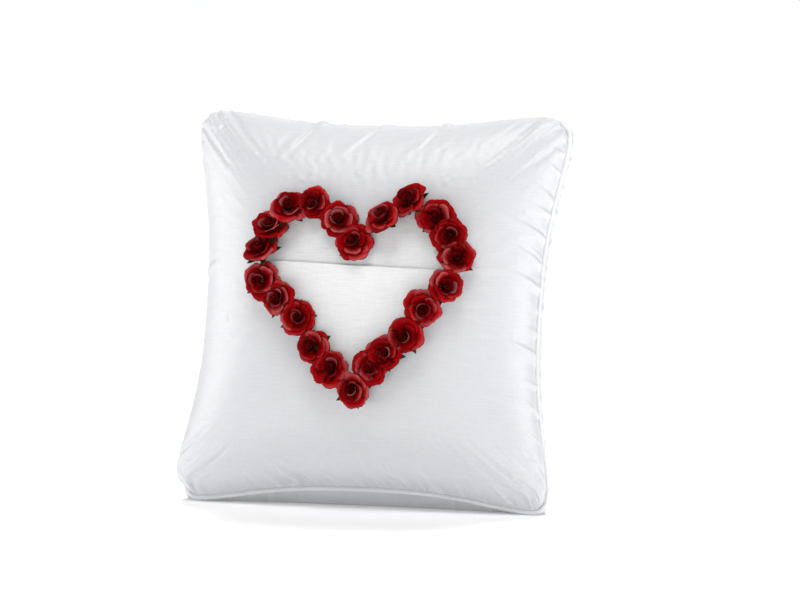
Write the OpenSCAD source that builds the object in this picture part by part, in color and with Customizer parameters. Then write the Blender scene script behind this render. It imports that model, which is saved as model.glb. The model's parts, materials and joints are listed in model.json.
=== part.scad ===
// Ring bearer pillow: a piped square satin cushion that stands on its lower edge and leans back.
// A heart of paper roses frames a cloth pocket on its front, for the two rings.
// X runs across the pillow, the front faces -Y, and +Z is up. The origin is the middle of the flat foot.
// On the pillow, a place is [u, v, w]: across, up along the front, and out of the seam plane.

/* [Cushion] */
// Length of each side, from corner to corner
side = 165; // [130:1:210]
// How far the middle of the left and right sides is drawn in
side_pull = 10; // [2:0.5:14]
// How far the middle of the top and bottom sides is drawn in
end_pull = 7.5; // [2:0.5:12]
// How much each corner is rounded off, as a share of its distance from the middle
corner_trim = 0.028; // [0.01:0.002:0.05]
// Height of the front's crown above the seam
front_crown = 26; // [15:1:35]
// Height of the back's crown behind the seam
back_crown = 26; // [15:1:35]
// Lean of the pillow from the vertical, in degrees
lean = 11; // [8:0.5:15]
// How far the filling settles down at the back's foot
foot_sag = 32; // [26:1:40]
// Thickness of the lined satin
cover_wall = 0.7; // [0.4:0.1:1.2]

/* [Seam] */
// Diameter of the finished piping
piping_d = 2.0; // [1.6:0.1:3]
// Diameter of the cord inside the piping
cord_d = 1.3; // [0.8:0.1:1.4]
// Gap between the two covers at the seam
seam_gap = 0.6; // [0.5:0.1:1]
// Diameter of the sewing thread
thread_d = 0.3; // [0.2:0.05:0.4]

/* [Heart pocket] */
// Half width of the line that the roses follow
heart_half_w = 43; // [36:1:52]
// Height scale of that line
heart_h = 45; // [38:1:54]
// Height of the heart's own middle above the pillow's middle
heart_rise = 9; // [4:1:14]
// How far the heart's middle lies to the right of the pillow's middle
heart_across = 2; // [-4:0.5:4]
// Height of the pocket's mouth above the pillow's middle
mouth_rise = 16; // [8:1:22]
// How far the pocket's cloth runs out under the roses
cloth_outset = 2.2; // [0.5:0.1:3]
// Thickness of the heart's backing
backing_t = 0.5; // [0.3:0.1:1]
// Thickness of the folded pocket panel
panel_t = 0.7; // [0.4:0.1:1.2]
// How far the mouth stands open at its middle
mouth_slack = 1.2; // [0.4:0.1:3]

/* [Roses] */
// Number of roses round the heart, an even number
rose_count = 22; // [18:2:24]
// Diameter of a rose's outer petals
rose_d = 14.6; // [12:0.2:16]
// Height of a rose above its calyx
rose_h = 7.2; // [5:0.2:9]
// Diameter of the calyx, from tip to tip
calyx_d = 12.6; // [9:0.2:14]
// Diameter of the wire stem
wire_d = 0.7; // [0.5:0.1:1]
// Gap left between neighbouring roses
rose_gap = 0.3; // [0.2:0.05:0.6]
// Diameter of each spot of glue
glue_d = 3.2; // [2:0.2:4]
// Height of each spot of glue
glue_h = 0.7; // [0.4:0.1:1]

/* [Hidden] */
rose_names = [for (i = [0:rose_count - 1]) str("rose_", i < 9 ? "0" : "", i + 1)];
calyx_names = [for (i = [0:rose_count - 1]) str("calyx_", i < 9 ? "0" : "", i + 1)];

satin = "white";
cloth = "ivory";
petal = "firebrick";
leaf = "darkgreen";
// How far each rose was set off the even line by hand, across and up: first the rose in the notch,
// then the left side down to the tip, then the right side back up
hand_set = [[-2, -3], [-2, -2], [-1, 1], [0, -1], [2, -2], [1, 1], [-2, 0], [0, 3], [0, 4], [1, 1], [-1, 1],
            [2, 3], [3, 3], [-2, -2], [-1, -1], [-3, 1], [-2, 0], [-1, -1], [-3, 0], [1, -2], [2, 2], [3, -2]];

fit = 0.15;            // clearance between pieces that lie against each other
grid = 24;             // steps across a cover
rim_steps = 22;        // rings of piping along each side
crown_width = 3;       // how flat the crown is across its middle
dome_power = 0.5;      // how steeply the covers rise from the seam
pull_width = 2.7;      // how long a stretch of each side is drawn in
corner_power = 20;     // how close to the corner its rounding starts
foot_start = 0.12;     // share of the half height in which the foot reaches its full sag
foot_full = 0.42;      // share at which the sag starts to fade
foot_end = 1.05;       // share at which it is gone
foot_middle = 17;      // how far the flat foot's middle lies behind the lowest seam
cover_inset = piping_d / 2 + fit;
filling_inset = cover_inset + cover_wall + fit;
seam_floor = min([for (k = [0:4 * rim_steps - 1]) let (p = seam_point(k)) p.y * cos(lean)]);
middle_y = side / 2 * sin(lean) - foot_middle;
middle_z = piping_d / 2 - seam_floor;  // brings the piping's lowest point to the floor

// ---- the cushion's form, over s and t from -1 to 1 ----
function drawn(x) = pow(1 - pow(abs(x), pull_width), 2);
function corner_scale(s, t) = 1 - corner_trim * pow(abs(s * t), corner_power);
function plan(s, t, inset) =
    let (half = side / 2 - inset)
    corner_scale(s, t) * [s * (half - side_pull * drawn(t)), t * (half - end_pull * drawn(s))];
function dome(s, t) =
    pow(max(0, (1 - pow(abs(s), crown_width)) * (1 - pow(abs(t), crown_width))), dome_power);
// stands a place on the pillow up on the floor
function stand(p) = [p.x, p.y * sin(lean) - p.z * cos(lean) + middle_y,
                     p.y * cos(lean) + p.z * sin(lean) + middle_z];
// how far the back sinks towards the floor: full along the foot, nothing at the seam and higher up
function foot(s, t) =
    let (d = 1 + t,
         along = sqrt(max(0, 1 - pow(s, 4))),
         up = d < foot_start ? sqrt(d / foot_start)
            : d < foot_full ? 1
            : d < foot_end ? 0.5 + 0.5 * cos(180 * (d - foot_full) / (foot_end - foot_full)) : 0)
    foot_sag * along * up;
function front_point(s, t, inset, base, crown) =
    let (q = plan(s, t, inset)) stand([q.x, q.y, base + crown * dome(s, t)]);
function back_point(s, t, inset, base, crown, floor_z) =
    let (q = plan(s, t, inset), p = stand([q.x, q.y, -base - crown * dome(s, t)]))
    [p.x, p.y, max(floor_z, p.z - foot(s, t))];

// ---- grids and the closed solids made from them ----
// steps from -1 to 1, closer together near the ends
function even_step(i, n) = sin(90 * (2 * i / n - 1));
function flat_list(rows) = [for (row = rows) each row];
function sheet_faces(n, m, first, turned) =
    [for (j = [0:m - 1], i = [0:n - 1])
        let (a = first + j * (n + 1) + i, b = a + 1, c = b + n + 1, d = a + n + 1)
        each turned ? [[a, b, c], [a, c, d]] : [[a, c, b], [a, d, c]]];
// the border of a grid as one loop of indices
function border(n, m) = concat(
    [for (i = [0:n - 1]) i], [for (j = [0:m - 1]) j * (n + 1) + n],
    [for (i = [n:-1:1]) m * (n + 1) + i], [for (j = [m:-1:1]) j * (n + 1)]);
function joined_borders(n, m, other) =
    let (loop = border(n, m), count = len(loop))
    [for (k = [0:count - 1]) let (a = loop[k], b = loop[(k + 1) % count])
        each [[a, b, b + other], [a, b + other, a + other]]];
// a closed solid between two grids of points, the first one outermost when seen from -Y
module between_sheets(outer, inner) {
    m = len(outer) - 1;
    n = len(outer[0]) - 1;
    points = concat(flat_list(outer), flat_list(inner));
    other = (n + 1) * (m + 1);
    polyhedron(points, concat(sheet_faces(n, m, 0, false), sheet_faces(n, m, other, true),
                              joined_borders(n, m, other)));
}
function front_sheet(inset, base, crown) =
    [for (j = [0:grid]) [for (i = [0:grid])
        front_point(even_step(i, grid), even_step(j, grid), inset, base, crown)]];
function back_sheet(inset, base, crown, floor_z) =
    [for (j = [0:grid]) [for (i = [0:grid])
        back_point(even_step(i, grid), even_step(j, grid), inset, base, crown, floor_z)]];

// ---- the seam and what follows it ----
function seam_place(k) =
    let (edge = floor(k / rim_steps), x = even_step(k % rim_steps, rim_steps))
    edge == 0 ? [x, -1] : edge == 1 ? [1, x] : edge == 2 ? [-x, 1] : [-1, -x];
function seam_point(k, inset = 0) = let (e = seam_place(k)) plan(e.x, e.y, inset);
function unit(v) = v / norm(v);
// rings of a round tube that follows the seam, each a circle across the seam's own direction
function seam_ring(k, r, sides, inset) =
    let (count = 4 * rim_steps,
         here = seam_point(k, inset),
         along = unit(seam_point((k + 1) % count, inset) - seam_point((k + count - 1) % count, inset)),
         out = [along.y, -along.x])
    [for (a = [0:sides - 1]) let (turn = 360 * a / sides)
        stand([here.x + r * cos(turn) * out.x, here.y + r * cos(turn) * out.y, r * sin(turn)])];
function loop_faces(rings, sides, first, turned) =
    [for (k = [0:rings - 1], a = [0:sides - 1])
        let (k2 = (k + 1) % rings, a2 = (a + 1) % sides,
             p = first + k * sides + a, q = first + k * sides + a2,
             r = first + k2 * sides + a2, s = first + k2 * sides + a)
        each turned ? [[p, q, r], [p, r, s]] : [[p, r, q], [p, s, r]]];
module seam_loop(r, sides, inset = 0) {
    rings = 4 * rim_steps;
    polyhedron(flat_list([for (k = [0:rings - 1]) seam_ring(k, r, sides, inset)]),
               loop_faces(rings, sides, 0, true));
}

// ---- the heart ----
heart_steps = 180;
function heart_point(a) =
    [heart_across - heart_half_w * pow(sin(a), 3),
     heart_rise + heart_h * (13 * cos(a) - 5 * cos(2 * a) - 1.6 * cos(3 * a)) / 16];
function heart_out(a) =
    let (along = unit(heart_point(a + 0.5) - heart_point(a - 0.5))) [along.y, -along.x];
// length of the line from the notch to each of its steps
function run(k = 0, total = 0) =
    k > heart_steps ? [] :
    concat([total], run(k + 1, total + norm(heart_point(360 * (k + 1) / heart_steps)
                                            - heart_point(360 * k / heart_steps))));
lengths = run();
function angle_at(distance) =
    let (k = max([for (i = [0:heart_steps - 1]) if (lengths[i] <= distance) i]))
    360 / heart_steps * (k + (distance - lengths[k]) / (lengths[k + 1] - lengths[k]));
rose_places = [for (i = [0:rose_count - 1])
    heart_point(angle_at(i * lengths[heart_steps] / rose_count)) + hand_set[i % len(hand_set)]];

// s and t of a place on the seam plane, found by repeated correction
function to_st(u, v, inset, s = 0, t = 0, turns = 12) =
    turns == 0 ? [s, t] :
    let (half = side / 2 - inset)
    to_st(u, v, inset, u / (half - side_pull * drawn(t)), v / (half - end_pull * drawn(s)), turns - 1);
// height of the front cover's outer face above the seam plane
function front_height(u, v) =
    let (q = to_st(u, v, cover_inset)) seam_gap / 2 + cover_wall + front_crown * dome(q.x, q.y);
function front_normal(u, v) =
    unit([front_height(u - 1, v) - front_height(u + 1, v),
          front_height(u, v - 1) - front_height(u, v + 1), 2]);

// ---- heart cloth ----
heart_middle = [heart_across, heart_rise - heart_h * 0.1];
cloth_rings = 5;
cloth_turns = 44;
function cloth_edge(a) = heart_point(a) + cloth_outset * heart_out(a);
function backing_place(j, i) =
    heart_middle + (cloth_edge(360 * i / cloth_turns) - heart_middle) * j / cloth_rings;
// the heart's middle is point 0, and each ring round it follows as a row
function ring(j, i) = 1 + (j - 1) * cloth_turns + i % cloth_turns;
function on_front(q, lift) = stand([q.x, q.y, front_height(q.x, q.y) + lift]);

// half widths of the heart's cloth below the mouth, found on its edge line
function edge_angle(v, low, high, turns = 24) =
    turns == 0 ? (low + high) / 2 :
    let (middle = (low + high) / 2)
    cloth_edge(middle).y > v ? edge_angle(v, middle, high, turns - 1) : edge_angle(v, low, middle, turns - 1);
panel_rows = 20;
panel_steps = 16;
tip_v = cloth_edge(180).y;
function panel_place(j, i) =
    let (v = tip_v + 1.5 + (mouth_rise - tip_v - 1.5) * j / panel_rows,
         half = cloth_edge(edge_angle(v, 90, 180)).x - heart_across)
    [heart_across + half * (1 - 2 * i / panel_steps), v];
// the panel stands off the backing at the mouth's middle and lies on it along its sewn edges
function panel_gap(j, i) =
    fit + mouth_slack * pow(j / panel_rows, 3) * sin(180 * i / panel_steps);
function panel_sheet(lift) =
    [for (j = [0:panel_rows]) [for (i = [0:panel_steps])
        on_front(panel_place(j, i), fit + backing_t + panel_gap(j, i) + lift)]];

// ---- roses ----
function under_rose(i) =
    fit + backing_t + (rose_places[i].y - glue_d / 2 > mouth_rise ? fit : fit + panel_t + fit);
module at_rose(i, lift) {
    q = rose_places[i];
    n = front_normal(q.x, q.y);
    stood() translate([q.x, q.y, front_height(q.x, q.y)])
        rotate([0, acos(n.z), atan2(n.y, n.x)])
            translate([0, 0, lift]) rotate(137.5 * i) children();
}
module stood()
    translate([0, middle_y, middle_z]) rotate([90 - lean, 0, 0]) children();
// everything on this rose's side of the plane midway to another rose
module near_side(i, j) {
    a = rose_places[i];
    b = rose_places[j];
    middle = (a + b) / 2;
    turn = atan2(b.y - a.y, b.x - a.x);
    size = 4 * rose_d;
    stood() translate([middle.x, middle.y, 0]) rotate(turn)
        translate([-size - rose_gap / 2, -size / 2, 0]) cube([size, size, front_crown + size]);
}
// a cup of petals with a bore for the wire, its rim cut into lobes that stay just inside its diameter
module whorl(d, low, high, wall, lobes, lobe_share) {
    lobe_r = d / 2 * lobe_share;
    lobe_in = 0.12;
    intersection() {
        rotate_extrude($fn = 48) polygon([
            [wire_d / 2 + fit, low], [d * 0.22, low + wall * 0.3], [d * 0.4, low + (high - low) * 0.35],
            [d * 0.5, high], [d * 0.5 - wall, high], [d * 0.38, low + (high - low) * 0.45 + wall],
            [d * 0.21, low + wall * 1.4], [wire_d / 2 + fit, low + wall]]);
        translate([0, 0, low - 1]) union() {
            cylinder(d = d * 0.6, h = high - low + 2, $fn = 48);
            for (k = [0:lobes - 1]) rotate(360 / lobes * k) translate([d / 2 - lobe_r - lobe_in, 0, 0])
                cylinder(r = lobe_r, h = high - low + 2, $fn = 48);
        }
    }
}
module bud(d, low, high)
    rotate_extrude($fn = 48) polygon([[0, low], [d * 0.3, low + 0.1], [d * 0.5, low + (high - low) * 0.5],
                                      [d * 0.46, high], [d * 0.25, high - 0.4], [0, high - 0.9]]);
calyx_top = glue_h + 1.3;
module rose_shape() {
    whorl(rose_d, calyx_top + fit, calyx_top + rose_h * 0.5, 0.5, 5, 0.5);
    whorl(rose_d * 0.74, calyx_top + 1.1, calyx_top + rose_h * 0.85, 0.5, 5, 0.52);
    bud(rose_d * 0.4, calyx_top + 2.1, calyx_top + rose_h);
}
module calyx_shape() {
    difference() {
        union() {
            translate([0, 0, glue_h + fit]) cylinder(d = 3.4, h = calyx_top - glue_h - fit, $fn = 32);
            translate([0, 0, glue_h + 0.7]) linear_extrude(0.45)
                polygon([for (k = [0:9]) calyx_d / 2 * (k % 2 == 0 ? 1 : 0.36) * [cos(36 * k), sin(36 * k)]]);
        }
        translate([0, 0, glue_h]) cylinder(d = wire_d + 2 * fit, h = calyx_top, $fn = 24);
    }
}
module rose(i) color(petal) intersection() {
    at_rose(i, under_rose(i)) rose_shape();
    near_side(i, (i + 1) % rose_count);
    near_side(i, (i + rose_count - 1) % rose_count);
}
module calyx(i) color(leaf) intersection() {
    at_rose(i, under_rose(i)) calyx_shape();
    near_side(i, (i + 1) % rose_count);
    near_side(i, (i + rose_count - 1) % rose_count);
}

// ---- sub-parts ----
module front_cover() color(satin)
    between_sheets(front_sheet(cover_inset, seam_gap / 2, front_crown + cover_wall),
                   front_sheet(cover_inset + cover_wall, seam_gap / 2, front_crown));
module back_cover() color(satin)
    between_sheets(back_sheet(cover_inset + cover_wall, seam_gap / 2, back_crown, cover_wall),
                   back_sheet(cover_inset, seam_gap / 2, back_crown + cover_wall, 0));
module fibre_filling() color("gainsboro")
    between_sheets(front_sheet(filling_inset, thread_d / 2, front_crown - fit),
                   back_sheet(filling_inset, thread_d / 2, back_crown - fit, cover_wall + fit));
module piping_sleeve() color(satin) difference() {
    seam_loop(piping_d / 2, 10);
    seam_loop(cord_d / 2 + fit / 2, 8);
}
module piping_cord() color("linen") seam_loop(cord_d / 2, 8);
module seam_thread() color("snow") seam_loop(thread_d / 2, 4, cover_inset + thread_d);
module heart_backing() color(cloth) {
    places = concat([heart_middle],
                    [for (j = [1:cloth_rings], i = [0:cloth_turns - 1]) backing_place(j, i)]);
    count = len(places);
    points = concat([for (q = places) on_front(q, fit + backing_t)], [for (q = places) on_front(q, fit)]);
    top = concat(
        [for (i = [0:cloth_turns - 1]) [0, ring(1, i + 1), ring(1, i)]],
        [for (j = [1:cloth_rings - 1], i = [0:cloth_turns - 1])
            each [[ring(j, i), ring(j + 1, i + 1), ring(j + 1, i)],
                  [ring(j, i), ring(j, i + 1), ring(j + 1, i + 1)]]]);
    bottom = [for (f = top) [f[0] + count, f[2] + count, f[1] + count]];
    rim = [for (i = [0:cloth_turns - 1]) let (a = ring(cloth_rings, i), b = ring(cloth_rings, i + 1))
        each [[a, b, b + count], [a, b + count, a + count]]];
    polyhedron(points, concat(top, bottom, rim));
}
module pocket_panel() color(cloth) between_sheets(panel_sheet(panel_t), panel_sheet(0));
module glue_spots() color("wheat")
    for (i = [0:rose_count - 1]) at_rose(i, under_rose(i)) difference() {
        cylinder(d = glue_d, h = glue_h, $fn = 32);
        translate([0, 0, -1]) cylinder(d = wire_d + 2 * fit, h = glue_h + 2, $fn = 24);
    }
module rose_wires() color("silver")
    for (i = [0:rose_count - 1]) at_rose(i, under_rose(i)) cylinder(d = wire_d, h = calyx_top + 2, $fn = 24);

front_cover();
back_cover();
fibre_filling();
piping_sleeve();
piping_cord();
seam_thread();
heart_backing();
pocket_panel();
glue_spots();
rose_wires();
for (i = [0:rose_count - 1]) rose(i);
for (i = [0:rose_count - 1]) calyx(i);
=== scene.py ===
import json
import math
import bmesh
import bpy
import numpy as np
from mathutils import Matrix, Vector
from mathutils.bvhtree import BVHTree

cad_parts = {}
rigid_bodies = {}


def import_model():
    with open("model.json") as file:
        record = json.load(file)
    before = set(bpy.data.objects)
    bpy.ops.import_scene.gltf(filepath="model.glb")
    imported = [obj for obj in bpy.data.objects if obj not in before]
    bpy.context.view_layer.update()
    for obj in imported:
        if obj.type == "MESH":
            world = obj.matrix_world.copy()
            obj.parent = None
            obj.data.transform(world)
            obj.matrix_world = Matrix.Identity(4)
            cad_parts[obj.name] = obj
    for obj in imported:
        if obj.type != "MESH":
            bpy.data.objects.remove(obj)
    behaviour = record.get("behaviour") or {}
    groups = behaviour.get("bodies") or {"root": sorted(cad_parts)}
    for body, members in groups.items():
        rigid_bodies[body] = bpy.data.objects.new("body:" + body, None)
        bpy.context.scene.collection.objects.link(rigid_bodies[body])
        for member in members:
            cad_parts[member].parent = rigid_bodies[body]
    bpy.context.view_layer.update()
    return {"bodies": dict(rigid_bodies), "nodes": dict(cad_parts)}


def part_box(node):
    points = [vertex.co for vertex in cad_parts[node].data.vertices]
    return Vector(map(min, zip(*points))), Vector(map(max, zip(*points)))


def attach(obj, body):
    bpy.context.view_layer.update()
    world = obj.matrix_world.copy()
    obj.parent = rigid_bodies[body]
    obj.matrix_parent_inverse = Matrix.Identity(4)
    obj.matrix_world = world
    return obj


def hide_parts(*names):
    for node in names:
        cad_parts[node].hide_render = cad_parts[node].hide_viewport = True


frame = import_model()
mm = 0.001
body = next(iter(frame["bodies"]))
print("frame loaded:", len(frame["nodes"]), "nodes on", body)

# the pillow's own directions: across, up along its front, and out of its seam plane
lowSeam, highSeam = (np.array(c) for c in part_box("piping_sleeve"))
middle = (lowSeam + highSeam) / 2   # the middle of the seam plane
lean = math.radians(11)             # how far the pillow leans back
acrossDir = np.array([1.0, 0.0, 0.0])
upDir = np.array([0.0, math.sin(lean), math.cos(lean)])
outDir = np.array([0.0, -math.cos(lean), math.sin(lean)])


def stand(points):
    # (across, up, out) on the pillow to the frame's own x, y, z
    points = np.asarray(points, float)
    return middle + points[..., :1] * acrossDir + points[..., 1:2] * upDir + points[..., 2:3] * outDir


def lie(points):
    # the frame's x, y, z back to (across, up, out) on the pillow
    off = np.asarray(points, float) - middle
    return np.stack([off @ acrossDir, off @ upDir, off @ outDir], -1)


def unit(v):
    return v / np.maximum(np.linalg.norm(v, axis=-1, keepdims=True), 1e-12)


def plainMesh(name, points, faces, smooth=True):
    mesh = bpy.data.meshes.new(name)
    mesh.from_pydata(np.asarray(points, float).reshape(-1, 3).tolist(), [], faces)
    mesh.update()
    mesh.polygons.foreach_set("use_smooth", [smooth] * len(mesh.polygons))
    piece = bpy.data.objects.new(name, mesh)
    bpy.context.scene.collection.objects.link(piece)
    return piece


def gridFaces(rows, cols, first=0, closed=False):
    faces = []
    for j in range(rows - 1):
        for i in range(cols if closed else cols - 1):
            a, b = first + j * cols + i, first + j * cols + (i + 1) % cols
            faces.append((a, b, b + cols, a + cols))
    return faces


def gridNormals(grid):
    along = np.gradient(grid, axis=1)
    up = np.gradient(grid, axis=0)
    return unit(np.cross(along, up))


def thickSheet(grid, thickness, back=None):
    # a closed sheet: its face, its back behind it, and the rim that joins them
    rows, cols = grid.shape[:2]
    back = grid - gridNormals(grid) * thickness if back is None else back
    count = rows * cols
    front = gridFaces(rows, cols)
    behind = [tuple(v + count for v in face[::-1]) for face in front]
    index = np.arange(count).reshape(rows, cols)
    loop = [*index[0, :-1], *index[:-1, -1], *index[-1, :0:-1], *index[:0:-1, 0]]
    loop = [int(v) for v in loop]
    rim = [(a, a + count, b + count, b) for a, b in zip(loop, loop[1:] + loop[:1])]
    return np.concatenate([grid.reshape(-1, 3), back.reshape(-1, 3)]), front + behind + rim


def placesOf(piece):
    points = np.empty(len(piece.data.vertices) * 3, np.float32)
    piece.data.vertices.foreach_get("co", points)
    return points.reshape(-1, 3).astype(float)


def merged(piece, distance):
    mesh = bmesh.new()
    mesh.from_mesh(piece.data)
    bmesh.ops.remove_doubles(mesh, verts=mesh.verts[:], dist=distance)
    mesh.to_mesh(piece.data)
    mesh.free()


def addUv(piece, values, name="cloth"):
    # one (u, v) for each vertex, in metres of cloth
    layer = piece.data.uv_layers.new(name=name)
    loopVerts = np.empty(len(piece.data.loops), np.int64)
    piece.data.loops.foreach_get("vertex_index", loopVerts)
    layer.data.foreach_set("uv", np.asarray(values, np.float32).reshape(-1, 2)[loopVerts].ravel())


def addValue(piece, name, values):
    layer = piece.data.attributes.new(name, "FLOAT", "POINT")
    layer.data.foreach_set("value", np.asarray(values, np.float32).ravel())


def finished(piece, material, slot, *nodes):
    # gives a piece its finish, hangs it on the body, and hides the CAD nodes that it stands for
    if material is not None:
        piece.data.materials.clear()
        piece.data.materials.append(material)
    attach(piece, body)
    if nodes:
        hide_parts(*nodes)
    return piece


# cushion form
cushion = dict(
    side=165 * mm,          # corner to corner
    sidePull=10 * mm,       # how far the left and right sides are drawn in
    endPull=7.5 * mm,       # the same for the top and bottom
    pullWidth=2.7,          # how long a stretch of each side is drawn in
    # how much each corner is drawn in sideways and upward, and over how short a stretch
    topCorner=(0.045, 0.045, 20), lowLeftCorner=(0.08, 0.03, 10), lowRightCorner=(0.045, 0.025, 16),
    crown=26.7 * mm,        # of the front and of the back
    crownWidth=3.0,
    rise=0.5,
    seamInset=0.7 * mm,     # the covers end this far inside the piping's middle line
    seamGap=0.35 * mm,      # half the gap between the covers at the seam
    footSag=32 * mm,        # how far the filling settles at the back's foot
    footStart=0.12, footFull=0.42, footEnd=1.05)


def drawnIn(x):
    return (1 - np.abs(x) ** cushion["pullWidth"]) ** 2


def plan(s, t, inset=0.0):
    half = cushion["side"] / 2 - inset
    sideways, upward, power = (
        np.where(t > 0, top, np.where(s < 0, left, right)) for top, left, right in
        zip(cushion["topCorner"], cushion["lowLeftCorner"], cushion["lowRightCorner"]))
    near = np.abs(s * t) ** power
    return np.stack([(1 - sideways * near) * s * (half - cushion["sidePull"] * drawnIn(t)),
                     (1 - upward * near) * t * (half - cushion["endPull"] * drawnIn(s))], -1)


def dome(s, t):
    k = cushion["crownWidth"]
    return np.maximum(0, (1 - np.abs(s) ** k) * (1 - np.abs(t) ** k)) ** cushion["rise"]


def footDrop(s, t):
    d = 1 + t
    a, b, c = cushion["footStart"], cushion["footFull"], cushion["footEnd"]
    fade = 0.5 + 0.5 * np.cos(np.pi * np.clip((d - b) / (c - b), 0, 1))
    toCorner = np.maximum(0, 1 - np.abs(s) ** 3) ** 0.8
    return cushion["footSag"] * toCorner * np.where(d < a, np.sqrt(np.maximum(d, 0) / a), fade)


# the cover's cloth, blown up by its filling
inflate = dict(
    cells=104,              # squares across a panel
    ease=0.07,              # extra cloth gathered along the seam
    easeReach=16 * mm,      # how far in from the seam the extra cloth reaches
    scale=10.0,             # cloth is solved at ten times its size
    frames=30,
    pressure=4.0,
    unevenness=0.06 * mm,   # of the cloth before it is blown up, so that it can pucker
    swellKept=0.25,         # share kept of the slow swelling, which the filling doesn't allow
    swellSpread=40,         # rounds of smoothing that tell the slow swelling from the folds
    cap=6 * mm,             # how far a point may end from the plain form
    bulge=dict(front=1.8 * mm, back=2.1 * mm),   # how far the cover swells out past its side seams
    topBulge=4.2 * mm,      # past the top seam
    footDraw=2.6 * mm,      # how far the front is drawn up from its bottom seam
    # more at the bottom corners, as the filling settled to the left
    lowBulge=dict(left=4.8 * mm, right=0.4 * mm),
    highBulge=dict(front=0.3 * mm, back=2.6 * mm),   # more at the top corners
    bulgeAt=7 * mm,         # how far from the seam, along the cloth, it swells most
    footDrawAt=6 * mm,
    footBack=1.9 * mm,      # how far the back goes straight back from the bottom seam before it drops
    footBackAt=3 * mm,
    seamHold=9 * mm,        # how near the other seams hold the cloth from swelling
    rules=dict(             # the cloth's own settings
        quality=6, mass=0.25, tension_stiffness=60, compression_stiffness=60, shear_stiffness=12,
        bending_stiffness=0.25, tension_damping=8, compression_damping=8, shear_damping=8, bending_damping=1,
        air_damping=2, vertex_group_mass="seam", pin_stiffness=1, use_pressure=True))


def evenSteps(count):
    return np.sin(np.linspace(-math.pi / 2, math.pi / 2, count + 1))


def coverStart(cells):
    s, t = np.meshgrid(evenSteps(cells), evenSteps(cells))
    flat = plan(s, t, cushion["seamInset"])
    height = cushion["crown"] * dome(s, t)
    return s, t, np.dstack([flat, height]), np.dstack([flat, -height])


def runFrom(line):
    # distance along a line of points, measured from its middle
    run = np.concatenate([[0], np.cumsum(np.linalg.norm(np.diff(line, axis=0), axis=1))])
    return run - run[-1] / 2


def clothCut(front):
    # the flat cut, with the gathered cloth's extra length along its edges
    mid = front.shape[0] // 2
    x, y = np.meshgrid(runFrom(front[mid]), runFrom(front[:, mid]))
    nearTop = np.clip(1 - (y.max() - np.abs(y)) / inflate["easeReach"], 0, 1)
    nearSide = np.clip(1 - (x.max() - np.abs(x)) / inflate["easeReach"], 0, 1)
    return np.dstack([x * (1 + inflate["ease"] * nearTop), y * (1 + inflate["ease"] * nearSide), 0 * x])


def smoothed(grid, rounds):
    out = grid.copy()
    for _ in range(rounds):
        out[1:-1, 1:-1] = (out[:-2, 1:-1] + out[2:, 1:-1] + out[1:-1, :-2] + out[1:-1, 2:]) / 4
    return out


def settled(new, start):
    # keeps the folds of the solved cloth and only a little of its swelling
    off = new - start
    swell = smoothed(off, inflate["swellSpread"])
    off = swell * inflate["swellKept"] + (off - swell)
    far = np.linalg.norm(off, axis=-1, keepdims=True)
    return start + off * np.minimum(1, inflate["cap"] / np.maximum(far, 1e-9))


def blowUp():
    n = inflate["cells"]
    s, t, front, back = coverStart(n)
    size = n + 1
    cut = clothCut(front)
    inner = np.zeros((size, size), bool)
    inner[1:-1, 1:-1] = True
    backIndex = np.arange(size * size).reshape(size, size)
    backIndex[inner] = size * size + np.arange(inner.sum())
    places = np.concatenate([front.reshape(-1, 3), back[inner]])
    free = np.concatenate([inner.ravel(), np.ones(inner.sum(), bool)])
    places[:, 2] += free * np.random.default_rng(11).normal(0, inflate["unevenness"], len(places))
    places *= inflate["scale"]
    flat = np.concatenate([cut.reshape(-1, 3), cut[inner]]) * inflate["scale"]
    faces = gridFaces(size, size)
    for j in range(n):
        for i in range(n):
            corners = (backIndex[j, i], backIndex[j + 1, i], backIndex[j + 1, i + 1], backIndex[j, i + 1])
            faces.append(tuple(int(v) for v in corners))
    work = plainMesh("coverWork", places, faces)
    work.shape_key_add(name="Basis")
    cutKey = work.shape_key_add(name="cut")
    cutKey.data.foreach_set("co", flat.astype(np.float32).ravel())
    cutKey.value = 0.0
    held = work.vertex_groups.new(name="seam")
    held.add([int(v) for v in np.arange(size * size)[~inner.ravel()]], 1.0, "REPLACE")
    cloth = work.modifiers.new("cloth", "CLOTH")
    rules = cloth.settings
    for rule, value in inflate["rules"].items():
        setattr(rules, rule, value)
    rules.uniform_pressure_force = inflate["pressure"]
    rules.rest_shape_key = cutKey
    rules.effector_weights.gravity = 0
    cloth.collision_settings.use_collision = False
    cloth.collision_settings.use_self_collision = False
    cloth.point_cache.frame_start = 1
    cloth.point_cache.frame_end = inflate["frames"]
    for step in range(1, inflate["frames"] + 1):
        bpy.context.scene.frame_set(step)
    done = work.evaluated_get(bpy.context.evaluated_depsgraph_get())
    got = np.empty(len(places) * 3, np.float32)
    done.data.vertices.foreach_get("co", got)
    got = got.reshape(-1, 3).astype(float) / inflate["scale"]
    bpy.data.objects.remove(work, do_unlink=True)
    bpy.context.scene.frame_set(1)
    newFront = got[:size * size].reshape(size, size, 3)
    newBack = got[backIndex]
    print("cover solved: crown %.1f mm, largest move %.1f mm"
          % (newFront[..., 2].max() / mm, np.abs(newFront - front).max() / mm))
    return s, t, settled(newFront, front), settled(newBack, back)


def halved(grid):
    # a point between each two, on the smooth curve through its four neighbours
    for axis in (0, 1):
        g = np.moveaxis(grid, axis, 0)
        before = np.concatenate([2 * g[:1] - g[1:2], g[:-2]])
        after = np.concatenate([g[2:], 2 * g[-1:] - g[-2:-1]])
        out = np.empty((2 * len(g) - 1,) + g.shape[1:])
        out[::2] = g
        out[1::2] = (9 * (g[:-1] + g[1:]) - before - after) / 16
        grid = np.moveaxis(out, 0, axis)
    return grid


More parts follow.
